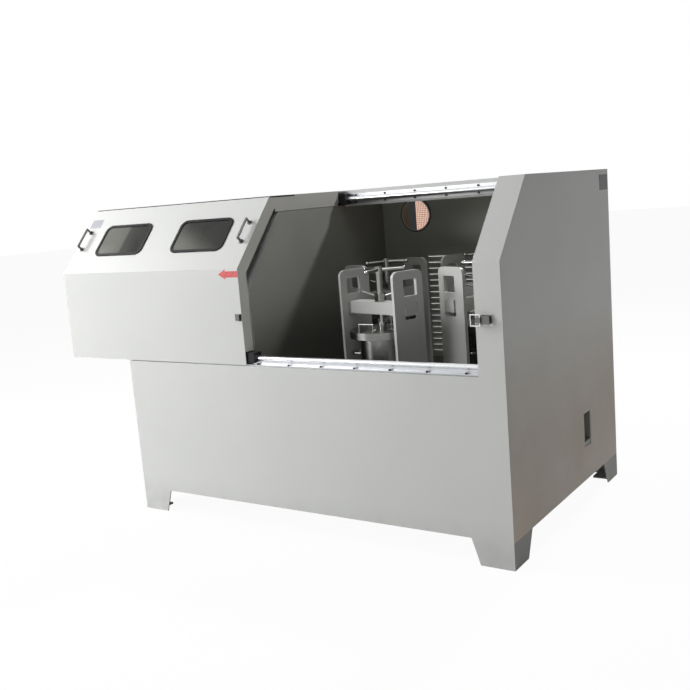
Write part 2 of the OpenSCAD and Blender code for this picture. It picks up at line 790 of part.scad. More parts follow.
module latch_bail() {
    half = latch_h / 2;
    x = pin_x + bail_dx;
    color(steel) {
        for (dx = [0, -bail_len]) translate([x + dx, -bail_dy, latch_z - half])
            cylinder(r = bail_r, h = 2 * half);
        for (side = [-1, 1]) {
            translate([x - bail_len, -bail_dy, latch_z + side * half]) rotate([0, 90, 0])
                cylinder(r = bail_r, h = bail_len);
            for (dx = [0, -bail_len]) translate([x + dx, -bail_dy, latch_z + side * half]) sphere(r = bail_r);
        }
    }
}
module latch_keeper() {
    width = 30;
    lip = 3;
    color(steel) {
        translate([left_w - width - hood_close_gap, -2, latch_z - 13]) cube([width, 2, 26]);
        translate([left_w - lip - hood_close_gap, -14, latch_z - 13]) cube([lip, 13, 26]);
    }
}

module motor_pulley() {
    color(steel) at_motor() {
        disc(motor_shaft_r, drive_low_z - 4, floor_z + motor_len / 3 - drive_low_z);
        pulley(motor_pitch_r, motor_shaft_r - 1, drive_low_z, drive_belt_n);
    }
}

// Sliding hood: a bent sheet with a flange at each end and two window openings
module window_places() {
    for (x = [0, window_pitch]) on_slope(hood_x + window_inset + x, window_s + window_h / 2) children();
}
module hood_shell() {
    color(paint) difference() {
        union() {
            across(hood_x, hood_len) polygon(strip(0, sheet_t, hood_z, hood_rear_y));
            for (x = [hood_x, left_w - sheet_t])
                across(x, sheet_t) polygon(strip(0, flange_w, flange_low_z, flange_rear_y));
        }
        window_places() translate([0, 0, -3 * sheet_t]) linear_extrude(4 * sheet_t)
            rounded(window_w, window_h, window_r);
    }
}
module hood_windows() {
    edge = gasket_lip / 2;
    color([0.12, 0.14, 0.15]) window_places() translate([0, 0, -sheet_t / 2 - glass_t / 2])
        linear_extrude(glass_t) rounded(window_w - 2 * edge, window_h - 2 * edge, window_r - edge);
}
module window_gaskets() {
    lip_t = 3;
    edge = gasket_lip / 2;
    neck_gap = 0.15;
    lip_gap = 0.05;
    depth = glass_t + 2 * lip_t;
    color(black) window_places() translate([0, 0, -sheet_t / 2 - depth / 2]) difference() {
        linear_extrude(depth)
            rounded(window_w + 2 * gasket_lip, window_h + 2 * gasket_lip, window_r + gasket_lip);
        translate([0, 0, -1]) linear_extrude(depth + 2)
            rounded(window_w - 2 * gasket_lip, window_h - 2 * gasket_lip, window_r - gasket_lip);
        translate([0, 0, lip_t]) linear_extrude(glass_t)
            rounded(window_w - 2 * edge, window_h - 2 * edge, window_r - edge);
        translate([0, 0, depth / 2 - sheet_t / 2 - lip_gap]) linear_extrude(sheet_t + 2 * lip_gap) difference() {
            rounded(window_w + 4 * gasket_lip, window_h + 4 * gasket_lip, window_r + gasket_lip);
            rounded(window_w - 2 * neck_gap, window_h - 2 * neck_gap, window_r - neck_gap);
        }
    }
}
module bow_handle() {
    reach = handle_len / 2 - handle_d / 2;
    for (side = [-1, 1]) translate([0, side * reach, 0]) {
        cylinder(d = handle_d, h = handle_h - handle_d / 2);
        cylinder(d = 2 * handle_d, h = 4);
        translate([0, 0, handle_h - handle_d / 2]) sphere(d = handle_d);
    }
    translate([0, reach, handle_h - handle_d / 2]) rotate([90, 0, 0]) cylinder(d = handle_d, h = 2 * reach);
}
module hood_handles() {
    color(steel) for (x = [hood_x + handle_inset, left_w - handle_inset]) on_slope(x, handle_s) bow_handle();
}

// Bearing blocks under the hood and the angle bars that tie them to its sheet
module block_section() {
    difference() {
        translate([-block_w / 2, rail_axis_h - block_bottom]) square([block_w, block_top + block_bottom]);
        translate([0, rail_axis_h]) circle(rail_d / 2 + run_gap);
        translate([-block_slot_w / 2, 0]) square([block_slot_w, rail_axis_h]);
    }
}
module hood_runners() {
    angle_x = hood_x + sheet_t + weld_gap;
    angle_len = hood_len - 2 * sheet_t - 2 * weld_gap;
    color([0.15, 0.15, 0.16]) {
        for (x = [block_start_x, left_w + block_reach - block_len]) {
            on_low_rail() translate([0, 0, x]) linear_extrude(block_len) block_section();
            on_up_rail() translate([0, 0, x]) linear_extrude(block_len) block_section();
        }
        across(angle_x, angle_len) translate([sheet_t, rail_low_z + block_top]) {
            square([angle_leg, angle_t]);
            square([angle_t, angle_leg]);
        }
        across(angle_x, angle_len) translate([rail_up_y - block_top - angle_t, roof_in_z]) {
            translate([0, -angle_leg]) square([angle_t, angle_leg]);
            translate([angle_t - angle_leg, -angle_t]) square([angle_leg, angle_t]);
        }
    }
}

// Turntable and what it carries
module turntable() {
    color([0.40, 0.42, 0.43]) difference() {
        at_axis() disc(table_r, table_z, table_t);
        at_axis() disc(shaft_r, table_z - 1, table_t + 2);
        for (k = [0:3]) on_circle(k) disc(housing_r, table_z - 1, table_t + 2);
    }
}
module main_shaft() {
    color(steel) at_axis() {
        disc(shaft_r, shaft_low_z, table_z + table_t - shaft_low_z);
        disc(hub_r, table_z - hub_t, hub_t);
    }
}
module driven_pulley() {
    color([0.25, 0.25, 0.27]) at_axis() pulley(driven_pitch_r, shaft_r, drive_low_z, drive_belt_n);
}
module planet_housings() {
    top_z = table_z + table_t + housing_top_t;
    color([0.30, 0.36, 0.42]) for (k = [0:3]) on_circle(k) difference() {
        union() {
            disc(housing_r, planet_housing_z, top_z - planet_housing_z);
            disc(housing_top_r, top_z - housing_top_t, housing_top_t);
        }
        disc(planet_bore_r, planet_housing_z - 1, top_z - planet_housing_z + 2);
        disc(planet_bearing_r, planet_housing_z - 1, planet_bearing_w + 1);
        disc(planet_bearing_r, top_z - planet_bearing_w, planet_bearing_w + 1);
    }
}
module planet_bearings() {
    top_z = table_z + table_t + housing_top_t;
    color(steel) for (k = [0:3]) on_circle(k) for (z = [planet_housing_z, top_z - planet_bearing_w])
        tube(planet_bearing_r, planet_shaft_r + run_gap, z, planet_bearing_w);
}
module planet_belts() {
    color(black) for (k = [0:3]) at_axis() rotate([0, 0, station_angle(k)])
        belt_loop(sun_pitch_r, planet_pitch_r, station_r, sun_low_z + (k + 0.5) * groove_pitch);
}

// Station k: shaft and pulley under the turntable, holder, jar and screw clamp above it
module planet_shaft(k) {
    pulley_z = sun_low_z + k * groove_pitch;
    on_circle(k) {
        disc(planet_shaft_r, pulley_z - 2, planet_flange_z - pulley_z + 3);
        disc(planet_flange_r, planet_flange_z, planet_flange_t);
        pulley(planet_pitch_r, planet_shaft_r - 1, pulley_z, 1);
    }
}
module plate_outline(shift) {
    height = plate_top_z - holder_z;
    up_corner_r = 4;
    low_corner_r = 8;
    difference() {
        union() {
            translate([-plate_w / 2, 0]) square([plate_w, height - plate_corner_r]);
            translate([-plate_w / 2 + plate_corner_r, 0]) square([plate_w - 2 * plate_corner_r, height]);
            for (side = [-1, 1]) translate([side * (plate_w / 2 - plate_corner_r), height - plate_corner_r])
                circle(plate_corner_r);
        }
        translate([shift, height - slot_up_drop - slot_up_h / 2]) rounded(slot_up_w, slot_up_h, up_corner_r);
        translate([shift, height - slot_low_drop - slot_low_h / 2])
            rounded(slot_low_w, slot_low_h, low_corner_r);
    }
}
module crossbeam() {
    length = plate_gap + 2 * plate_t + 4;
    difference() {
        translate([-length / 2, -beam_w / 2, beam_z]) cube([length, beam_w, beam_h]);
        disc(spindle_d / 2 + run_gap, beam_z - 1, beam_h + 2);
    }
}
module holder(k) {
    shift = slot_side[k] * slot_shift;
    color(steel) planet_shaft(k);
    color(steel) at_station(k) {
        translate([-plate_gap / 2, -plate_w / 2, holder_z]) cube([plate_gap, plate_w, holder_t]);
        tube(jar_d / 2 + touch_gap + ring_wall, jar_d / 2 + touch_gap, jar_z - 1, ring_h + 1);
        translate([0, 0, holder_z]) {
            across(plate_gap / 2 + weld_gap, plate_t) plate_outline(shift);
            across(-plate_gap / 2 - plate_t - weld_gap, plate_t) plate_outline(-shift);
        }
        rotate([0, 0, slot_side[k] * beam_turn]) crossbeam();
    }
}
// Jar with two side handles
module side_handle() {
    bar_r = 5;
    bow_r = 24;
    stem = 28;
    lap = 3;
    translate([jar_d / 2, 0, 0]) {
        translate([stem, 0, 0]) rotate([0, 0, -90])
            rotate_extrude(angle = 180) translate([bow_r, 0]) circle(bar_r);
        for (side = [-1, 1]) translate([-lap, side * bow_r, 0]) rotate([0, 90, 0])
            cylinder(r = bar_r, h = stem + lap);
    }
}
module jar(k) {
    handle_turn = 16.6;
    handle_drop = 83;
    handle_z = jar_z + jar_h - handle_drop;
    color([0.86, 0.87, 0.88]) at_station(k) difference() {
        union() {
            disc(jar_d / 2, jar_z, jar_h);
            disc(jar_flange_d / 2, jar_z + jar_h - jar_flange_t, jar_flange_t);
            for (turn = [0, 180]) rotate([0, 0, handle_turn + turn])
                translate([0, 0, handle_z]) side_handle();
        }
        disc(jar_d / 2 - jar_wall, jar_z + jar_bottom, jar_h);
    }
}

// Lid with two bails, the boss for the clamp and a vent knob
module lid_bail() {
    bar_r = 3;
    half = 32;
    height = 33;
    for (side = [-1, 1]) translate([0, side * half, 0]) {
        cylinder(r = bar_r, h = height);
        translate([0, 0, height]) sphere(r = bar_r);
    }
    translate([0, half, height]) rotate([90, 0, 0]) cylinder(r = bar_r, h = 2 * half);
}
module lid(k) {
    bail_r_place = 108;
    bail_turn = 105.6;
    knob_r_place = 100;
    knob_turn = 304.6;
    spigot_h = 8;
    top_z = lid_z + lid_t;
    color([0.86, 0.87, 0.88]) at_station(k) {
        disc(jar_flange_d / 2, lid_z, lid_t);
        disc(jar_d / 2 - jar_wall - touch_gap, lid_z - spigot_h, spigot_h + 1);
        disc(boss_r, top_z - 1, boss_h + 1);
        for (turn = [0, 180]) rotate([0, 0, bail_turn + turn])
            translate([bail_r_place, 0, top_z - 1]) lid_bail();
        rotate([0, 0, knob_turn]) translate([knob_r_place, 0, top_z - 1]) {
            cylinder(r = 3, h = 6);
            translate([0, 0, 9]) sphere(r = 7);
        }
    }
}
module clamp_foot(k) {
    color(steel) at_station(k) difference() {
        disc(clamp_foot_r, foot_z, clamp_foot_h);
        disc(tip_r + run_gap, foot_z + tip_floor, clamp_foot_h);
    }
}
module clamp_spindle(k) {
    tip_z = foot_z + tip_floor + run_gap;
    low_z = beam_z - tip_drop;
    color([0.88, 0.88, 0.89]) at_station(k) {
        disc(tip_r, tip_z, low_z - tip_z + 1);
        disc(spindle_d / 2, low_z, arm_z - low_z);
        disc(spindle_d / 2 + 2, arm_z - hub_h / 2, hub_h);
        for (i = [0:arm_n - 1]) rotate([0, 0, arm_turn[k] - station_turn[k] + i * 360 / arm_n])
            translate([0, 0, arm_z]) {
                rotate([0, 90, 0]) cylinder(d = arm_d, h = arm_len - arm_ball_d / 2);
                translate([arm_len - arm_ball_d / 2, 0, 0]) sphere(d = arm_ball_d);
            }
    }
}
module lock_nut(k) {
    z = beam_top_z + weld_gap;
    color([0.88, 0.88, 0.89]) at_station(k) difference() {
        union() {
            translate([0, 0, z]) cylinder(d = nut_d, h = nut_h, $fn = 6);
            for (turn = [0, 180]) rotate([0, 0, turn - station_turn[k]])
                translate([nut_d / 4, 0, z + nut_h - nut_arm_drop]) rotate([0, 90 - nut_arm_tilt, 0])
                    cylinder(d = nut_arm_d, h = nut_arm_len - nut_d / 4);
        }
        disc(spindle_d / 2 + run_gap, z - 1, 4 * nut_h);
    }
}

placed() feet();
placed() base_frame();
placed() front_panel();
placed() right_side_panel();
placed() left_side_panel();
placed() rear_panel();
placed() louvre_panel();
placed() roof_panel();
placed() left_compartment();
placed() chamber_floor();
placed() rail_bases();
placed() rail_shafts();
placed() rail_screws();
placed() vent_port();
placed() bearing_housing();
placed() main_bearings();
placed() sun_pulley();
placed() motor();
placed() drive_belts();
placed() control_box();
placed() latch_base();
placed() latch_lever();
placed() latch_bail();
placed() motor_pulley();
placed() hood_shell();
placed() hood_windows();
placed() window_gaskets();
placed() hood_handles();
placed() hood_runners();
placed() latch_keeper();
placed() turntable();
placed() main_shaft();
placed() driven_pulley();
placed() planet_housings();
placed() planet_bearings();
placed() planet_belts();
for (k = [0:3]) {
    placed() holder(k);
    placed() jar(k);
    placed() lid(k);
    placed() clamp_foot(k);
    placed() clamp_spindle(k);
    placed() lock_nut(k);
}
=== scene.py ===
import math

import bmesh
import bpy
from mathutils import Euler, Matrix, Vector


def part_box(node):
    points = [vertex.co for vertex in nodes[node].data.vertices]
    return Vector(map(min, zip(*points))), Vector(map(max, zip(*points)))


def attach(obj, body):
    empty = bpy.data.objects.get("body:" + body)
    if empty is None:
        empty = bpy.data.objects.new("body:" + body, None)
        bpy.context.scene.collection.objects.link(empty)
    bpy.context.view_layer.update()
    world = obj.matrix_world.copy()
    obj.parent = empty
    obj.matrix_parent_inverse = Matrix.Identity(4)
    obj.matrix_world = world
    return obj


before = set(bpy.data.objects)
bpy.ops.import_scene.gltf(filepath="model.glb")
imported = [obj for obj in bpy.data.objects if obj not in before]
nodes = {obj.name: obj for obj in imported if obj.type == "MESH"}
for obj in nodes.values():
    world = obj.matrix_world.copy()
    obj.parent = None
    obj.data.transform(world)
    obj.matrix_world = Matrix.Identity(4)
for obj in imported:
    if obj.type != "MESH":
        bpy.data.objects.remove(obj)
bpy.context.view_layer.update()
print("stage: frame loaded,", len(nodes), "nodes")


# a socket that takes + - * > and <, each of which adds a Math node
class Wire:
    def __init__(self, maker, socket):
        self.maker = maker
        self.socket = socket

    def maths(self, operation, other, swapped=False, clamp=False):
        first, second = (other, self) if swapped else (self, other)
        return self.maker.node("Math", {"operation": operation, "use_clamp": clamp},
                               {0: first, 1: second})

    def __add__(self, other):
        return self.maths("ADD", other)

    def __radd__(self, other):
        return self.maths("ADD", other, True)

    def __sub__(self, other):
        return self.maths("SUBTRACT", other)

    def __rsub__(self, other):
        return self.maths("SUBTRACT", other, True)

    def __mul__(self, other):
        return self.maths("MULTIPLY", other)

    def __rmul__(self, other):
        return self.maths("MULTIPLY", other, True)

    def __gt__(self, other):
        return self.maths("GREATER_THAN", other)

    def __lt__(self, other):
        return self.maths("LESS_THAN", other)


# a node tree, with the one method that adds a node to it
class NodeMaker:
    def __init__(self, tree):
        self.tree = tree

    def feed(self, socket, value):
        if isinstance(value, Wire):
            self.tree.links.new(value.socket, socket)
        else:
            socket.default_value = value

    def node(self, kind, settings=None, values=None, out=0):
        made = self.tree.nodes.new("ShaderNode" + kind)
        for name, value in (settings or {}).items():
            if name == "stops":
                self.setStops(made.color_ramp, value)
            else:
                setattr(made, name, value)
        for name, value in (values or {}).items():
            self.feed(made.inputs[name], value)
        return Wire(self, made.outputs[out])

    def setStops(self, ramp, stops):
        while len(ramp.elements) < len(stops):
            ramp.elements.new(0.5)
        for element, (place, value) in zip(ramp.elements, stops):
            element.position = place
            element.color = (value, value, value, 1)


# one material: a Principled shader, with the constants set on its own sockets
class Finish(NodeMaker):
    def __init__(self, name, **constants):
        self.material = bpy.data.materials.new(name)
        self.material.use_nodes = True
        super().__init__(self.material.node_tree)
        self.shader = self.tree.nodes["Principled BSDF"]
        for socket, value in constants.items():
            self.shader.inputs[socket.replace("_", " ")].default_value = value

    def place(self):
        return self.node("TexCoord", out="Object")

    def axis(self, name):
        return self.node("SeparateXYZ", values={"Vector": self.place()}, out=name)

    def noise(self, scale, detail=3, stretch=(1, 1, 1), roughness=0.5):
        spot = self.node("Mapping", values={"Vector": self.place(), "Scale": stretch})
        return self.node("TexNoise", values={"Vector": spot, "Scale": scale, "Detail": detail,
                                             "Roughness": roughness})

    def ramp(self, value, stops, smooth=False):
        made = self.node("ValToRGB", {"stops": stops}, {"Fac": value})
        if smooth:
            made.socket.node.color_ramp.interpolation = "EASE"
        return self.node("RGBToBW", values={"Color": made})

    # 1 up to the height top, then down to 0 over the distance fade
    def below(self, value, top, fade):
        return self.node("MapRange", {"interpolation_type": "SMOOTHSTEP"},
                         {"Value": value, "From Min": top, "From Max": top + fade,
                          "To Min": 1, "To Max": 0})

    # a colour Mix takes its factor at socket 0 and its colours at 6 and 7, and gives 2
    def blend(self, mask, first, second):
        first, second = [tone if isinstance(tone, Wire) else (*tone, 1) for tone in (first, second)]
        return self.node("Mix", {"data_type": "RGBA"}, {0: mask, 6: first, 7: second}, out=2)

    def paint(self, colour, roughness, bump=None, depth=0.0):
        self.feed(self.shader.inputs["Base Color"], colour)
        self.feed(self.shader.inputs["Roughness"], roughness)
        if bump is not None:
            relief = self.node("Bump", values={"Height": bump, "Distance": depth, "Strength": 1.0})
            self.feed(self.shader.inputs["Normal"], relief)
        return self.material


# a colour made lighter or darker
def scaled(colour, factor):
    return [part * factor for part in colour]


# powder coat on sheet steel: orange peel, faint mottling, dust low down and scuffs, with painted shade
# where asked: low on the chamber side, and on faces that look to the right
powder = {"roughness": 0.42, "gloss": 0.24, "mottling": 0.55, "liningLowShade": 0.85, "peel": 0.00006,
          "dust": 0.55, "dustTone": 0.62, "dustTop": 0.02, "dustFade": 0.16,
          "scuff": 0.22, "scuffTone": 0.74, "scuffRough": 0.1, "shadeFacing": 0.5}


def powderCoat(name, colour, shade, roughness=powder["roughness"], lining=None, sideShade=None):
    coat = Finish(name, Specular_IOR_Level=powder["gloss"])
    cloud = coat.ramp(coat.noise(2.3, detail=4), [(0.3, 0), (0.72, 1)])
    tone = coat.blend(cloud * powder["mottling"], colour, shade)
    height = coat.axis("Z")
    if lining:
        inside = 1
        for axis, side, limit in lining["where"]:
            inside = (coat.axis(axis) * side > limit * side) * inside
        inner = coat.blend(cloud, paintTones[lining["tone"]], paintTones[lining["shade"]])
        # painted shade: the chamber side darker towards its bottom
        low = coat.below(height, lining["lowZ"], lining["highZ"] - lining["lowZ"])
        inner = coat.blend(low * powder["liningLowShade"], inner, paintTones["insideLowShade"])
        tone = coat.blend(inside, tone, inner)
    dust = coat.noise(16, detail=5) * coat.below(height, powder["dustTop"], powder["dustFade"])
    tone = coat.blend(dust * powder["dust"], tone, scaled(shade, powder["dustTone"]))
    # painted shade darkens the faces that look to the right
    if sideShade:
        facing = coat.node("SeparateXYZ", values={"Vector": coat.node("TexCoord", out="Normal")})
        shadedSide = coat.below(height, sideShade["fullZ"], sideShade["fadeZ"])
        shadedSide = shadedSide * (facing > powder["shadeFacing"]) * (0.75 + coat.noise(5, detail=4) * 0.5)
        tone = coat.blend(shadedSide * sideShade["strength"], tone, sideShade["colour"])
    scuff = coat.noise(34, detail=6, stretch=(1, 1, 0.35), roughness=0.62)
    scuff = coat.ramp(scuff, [(0.69, 0), (0.76, 1)])
    tone = coat.blend(scuff * powder["scuff"], tone, scaled(shade, powder["scuffTone"]))
    rough = roughness + (coat.noise(7) - 0.5) * 0.12 + scuff * powder["scuffRough"]
    return coat.paint(tone, rough, coat.noise(900, detail=2), powder["peel"])


# inner paint of the chamber: duller, with settled powder and rub marks
chamber = {"roughness": 0.5, "gloss": 0.3, "mottling": 0.7, "rub": 0.35, "rubTone": 1.35,
           "peel": 0.00006}


def chamberCoat(name, colour, shade):
    coat = Finish(name, Specular_IOR_Level=chamber["gloss"])
    cloud = coat.ramp(coat.noise(3.2, detail=5), [(0.3, 0), (0.7, 1)])
    tone = coat.blend(cloud * chamber["mottling"], colour, shade)
    rub = coat.noise(22, detail=6, stretch=(1, 1, 0.2), roughness=0.6)
    rub = coat.ramp(rub, [(0.62, 0), (0.75, 1)])
    tone = coat.blend(rub * chamber["rub"], tone, scaled(colour, chamber["rubTone"]))
    rough = chamber["roughness"] + (cloud - 0.5) * 0.14
    return coat.paint(tone, rough, coat.noise(700, detail=2), chamber["peel"])


# metal with a grain along one direction
def grainedMetal(name, colour, shade, roughness, stretch, scale, depth=0.00003, stain=0.35,
                 turned=0.0):
    metal = Finish(name, Metallic=1.0, Anisotropic=turned, Anisotropic_Rotation=0.25)
    lines = metal.noise(scale, stretch=stretch)
    cloud = metal.ramp(metal.noise(9, detail=4), [(0.35, 0), (0.7, 1)])
    tone = metal.blend(cloud * stain + (lines - 0.5) * 0.3, colour, shade)
    rough = roughness + (lines - 0.5) * 0.16 + cloud * 0.05
    return metal.paint(tone, rough, lines, depth)


# extruded rail: the roof rail's lower flange, below its unshaded top, carries painted shade from the
# shaft and a painted dark reflection
rail = {"colour": (0.58, 0.59, 0.61), "shade": (0.43, 0.44, 0.46), "roughness": 0.34,
        "underShaftShade": (0.17, 0.17, 0.165), "underShaftShadeLowZ": 1.1, "unshadedTop": 0.0225, "drawLines": 0.00003}


def railMetal(name, about):
    metal = Finish(name, Metallic=1.0)
    lines = metal.noise(260, stretch=(0.02, 1, 1))
    tone = metal.blend((lines - 0.5) * 0.6 + 0.3, about["colour"], about["shade"])
    height = metal.axis("Z")
    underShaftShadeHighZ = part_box("rail_bases")[1].z - about["unshadedTop"]
    # painted shade and painted dark reflection under the shaft of the roof rail
    underShaftShaded = (height > about["underShaftShadeLowZ"]) * (height < underShaftShadeHighZ)
    tone = metal.blend(underShaftShaded * (0.75 + metal.noise(14, detail=4) * 0.25), tone, about["underShaftShade"])
    return metal.paint(tone, about["roughness"] + (lines - 0.5) * 0.16, lines, about["drawLines"])


# dull black oxide on steel, with rubbed spots
oxide = {"colour": (0.02, 0.02, 0.022), "rubbed": (0.12, 0.12, 0.12), "rub": 0.6, "metal": 0.6,
         "roughness": 0.45, "rubRough": 0.12, "grain": 0.00004}


def blackenedSteel(name, about):
    metal = Finish(name, Metallic=about["metal"])
    rub = metal.ramp(metal.noise(120, detail=4), [(0.62, 0), (0.74, 1)])
    tone = metal.blend(rub * about["rub"], about["colour"], about["rubbed"])
    rough = about["roughness"] - rub * about["rubRough"]
    return metal.paint(tone, rough, metal.noise(500), about["grain"])


# sand-cast iron under paint, chipped to the brown metal in spots
cast = {"roughness": 0.5, "gloss": 0.4, "mottling": 0.6, "chip": 0.8, "chipRough": 0.2,
        "chipTone": (0.16, 0.12, 0.09)}


def castPaint(name, colour, shade, lumps):
    iron = Finish(name, Specular_IOR_Level=cast["gloss"])
    cloud = iron.ramp(iron.noise(24, detail=5), [(0.35, 0), (0.68, 1)])
    chip = iron.ramp(iron.noise(75, detail=6, roughness=0.65), [(0.7, 0), (0.735, 1)])
    tone = iron.blend(cloud * cast["mottling"], colour, shade)
    tone = iron.blend(chip * cast["chip"], tone, cast["chipTone"])
    rough = cast["roughness"] + chip * cast["chipRough"]
    return iron.paint(tone, rough, iron.noise(190, detail=4), lumps)


# the round port: a dark ring with a pale lip, a grey baffle rusting to the left over its left
# half, and copper at the right, under a piece of gauze
port = {"meshRadius": 0.0712, "lip": 0.0035, "ring": (0.16, 0.16, 0.15), "lipTone": (0.8, 0.76, 0.68),
        "baffle": (0.58, 0.6, 0.63), "rust": (0.85, 0.55, 0.27), "roughness": 0.45, "copperMetal": 0.8,
        "copper": (0.86, 0.5, 0.36), "copperShade": (0.66, 0.36, 0.25),
        "gauze": (0.93, 0.66, 0.56), "gauzeShade": (0.86, 0.56, 0.45), "gauzeRough": 0.08,
        "gauzeSheet": 0.0004, "gauzeDepth": 0.0012, "gauzeSteps": 24}


def portMetal(name, about):
    metal = Finish(name)
    low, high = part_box("vent_port")
    centre = (low + high) / 2
    across, height = metal.axis("X") - centre.x, metal.axis("Z") - centre.z
    radius = (across * across + height * height).maths("SQRT", 0)
    ring = radius > about["meshRadius"]
    lip = ring * (radius < about["meshRadius"] + about["lip"])
    baffle = across < 0
    stain = metal.ramp(metal.noise(30, detail=5), [(0.4, 0), (0.7, 1)])
    rust = metal.ramp(across * (-1 / about["meshRadius"]), [(0.35, 0), (0.75, 1)])
    plate = metal.blend(rust * (0.5 + stain * 0.5), about["baffle"], about["rust"])
    wire = metal.blend(stain, about["copper"], about["copperShade"])
    tone = metal.blend(ring, metal.blend(baffle, wire, plate), about["ring"])
    tone = metal.blend(lip, tone, about["lipTone"])
    bare = (1 - ring) * (1 - baffle)
    metal.feed(metal.shader.inputs["Metallic"], bare * about["copperMetal"])
    return metal.paint(tone, about["roughness"] + stain * 0.12, metal.noise(400), 0.00005)


# black rubber from a mould, fine-pored
def moulded(name, colour, shade, roughness, gloss=0.45, pores=0.00008):
    rubber = Finish(name, Specular_IOR_Level=gloss)
    cloud = rubber.ramp(rubber.noise(30, detail=4), [(0.35, 0), (0.7, 1)])
    tone = rubber.blend(cloud * 0.6, colour, shade)
    rough = roughness + (rubber.noise(60) - 0.5) * 0.16
    return rubber.paint(tone, rough, rubber.noise(350), pores)


# dark panes, with a painted reflection as a pale haze over the first one's left half and in the second
# one's lower left corner
# the dust tone here is the colour of the painted reflection
panes = {"pitch": 0.46, "colour": (0.02, 0.022, 0.018), "dust": (0.21, 0.21, 0.185), "through": 0.25,
         "roughness": 0.05, "reflectionRough": 0.12}


def tintedPane(name, about):
    pane = Finish(name, Transmission_Weight=about["through"], IOR=1.49, Specular_IOR_Level=0.16)
    smear = pane.ramp(pane.noise(14, detail=5), [(0.4, 0), (0.75, 1)])
    low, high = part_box("hood_windows")
    bothWide = high.x - low.x
    height = (pane.axis("Z") - low.z) * (1 / (high.z - low.z))
    along = pane.axis("X") - low.x
    second = along > bothWide / 2
    across = (along - second * about["pitch"]) * (1 / (bothWide - about["pitch"]))
    # painted reflection over the first pane's left half and the second pane's lower left corner
    half = pane.ramp(across + smear * 0.03, [(0.05, 0.85), (0.5, 0.7), (0.56, 0.2), (0.85, 0)])
    corner = pane.ramp(across * 0.6 + height * 0.55, [(0.12, 1), (0.7, 0)], smooth=True)
    film = half * (1 - second) + corner * second
    reflectionCover = (film + smear * 0.08).maths("MINIMUM", 1)
    tone = pane.blend(reflectionCover, about["colour"], about["dust"])
    return pane.paint(tone, about["roughness"] + smear * 0.05 + film * about["reflectionRough"])


paintTones = {
    "enamel": (0.66, 0.668, 0.655), "enamelShade": (0.615, 0.625, 0.61),
    "inside": (0.33, 0.335, 0.305), "insideShade": (0.27, 0.275, 0.25),
    # the painted shade low in the chamber
    "insideLowShade": (0.12, 0.122, 0.105),
    "rear": (0.56, 0.575, 0.52), "rearShade": (0.48, 0.49, 0.44),
    "box": (0.47, 0.48, 0.47), "boxShade": (0.41, 0.42, 0.41),
    "holder": (0.56, 0.565, 0.55), "holderShade": (0.49, 0.495, 0.48),
    "iron": (0.09, 0.13, 0.12), "ironShade": (0.06, 0.09, 0.085),
    "motor": (0.06, 0.13, 0.20), "motorShade": (0.045, 0.10, 0.16),
    "rubber": (0.018, 0.018, 0.019), "rubberShade": (0.035, 0.035, 0.036),
    "gasket": (0.006, 0.006, 0.0065), "gasketShade": (0.014, 0.014, 0.0145),
}

# a finish for each slot, and for the latch's and the hood's own bright parts
finishes = {
    "enamel": powderCoat("satinEnamel", paintTones["enamel"], paintTones["enamelShade"]),
    "box_enamel": powderCoat("boxEnamel", paintTones["box"], paintTones["boxShade"], 0.4),
    "holder_steel": powderCoat("holderPaint", paintTones["holder"], paintTones["holderShade"], 0.36),
    "inner_enamel": chamberCoat("chamberPaint", paintTones["inside"], paintTones["insideShade"]),
    "rail_aluminium": railMetal("railAluminium", rail),
    "black_oxide": blackenedSteel("blackOxide", oxide),
    "port_copper": portMetal("portMetal", port),
    "cast_iron": castPaint("paintedCasting", paintTones["iron"], paintTones["ironShade"], lumps=0.0004),
    "motor_paint": castPaint("motorPaint", paintTones["motor"], paintTones["motorShade"], lumps=0.0002),
    "belt_rubber": moulded("beltRubber", paintTones["rubber"], paintTones["rubberShade"], 0.62),
    "gasket_rubber": moulded("gasketRubber", paintTones["gasket"], paintTones["gasketShade"], 0.5,
                             gloss=0.12),
    "tinted_glass": tintedPane("tintedPane", panes),
    "ground_steel": grainedMetal("groundSteel", (0.72, 0.73, 0.74), (0.55, 0.56, 0.57),
                                 roughness=0.2, stretch=(0.05, 1, 1), scale=200),
    "stainless": grainedMetal("brushedStainless", (0.42, 0.42, 0.41), (0.25, 0.25, 0.24),
                              roughness=0.2, stretch=(1, 1, 0.06), scale=240),
    "louvre_steel": grainedMetal("louvreSteel", (0.58, 0.58, 0.56), (0.45, 0.45, 0.43),
                                 roughness=0.3, stretch=(0.05, 1, 1), scale=200),
    "table_steel": grainedMetal("tableSteel", (0.50, 0.50, 0.49), (0.33, 0.33, 0.32),
                                roughness=0.42, stretch=(1, 1, 1), scale=40),
    "jar_stainless": grainedMetal("turnedJar", (0.25, 0.25, 0.24), (0.13, 0.13, 0.125),
                                  roughness=0.22, stretch=(0.3, 0.3, 6), scale=60,
                                  depth=0.000003, stain=0.3, turned=0.92),
    "chromed_steel": grainedMetal("chromedSteel", (0.3, 0.3, 0.29), (0.18, 0.18, 0.175),
                                  roughness=0.12, stretch=(1, 1, 0.2), scale=90,
                                  depth=0.00001, stain=0.2),
    "latch_bail": grainedMetal("brightWire", (0.86, 0.86, 0.84), (0.7, 0.7, 0.68),
                               roughness=0.25, stretch=(1, 1, 1), scale=90),
    "latch_lever": grainedMetal("latchSteel", (0.17, 0.165, 0.155), (0.1, 0.1, 0.095),
                                roughness=0.3, stretch=(0.1, 1, 1), scale=240),
    "hood_handles": grainedMetal("handleChrome", (0.12, 0.12, 0.115), (0.07, 0.07, 0.07),
                                 roughness=0.16, stretch=(1, 1, 0.1), scale=120),
}

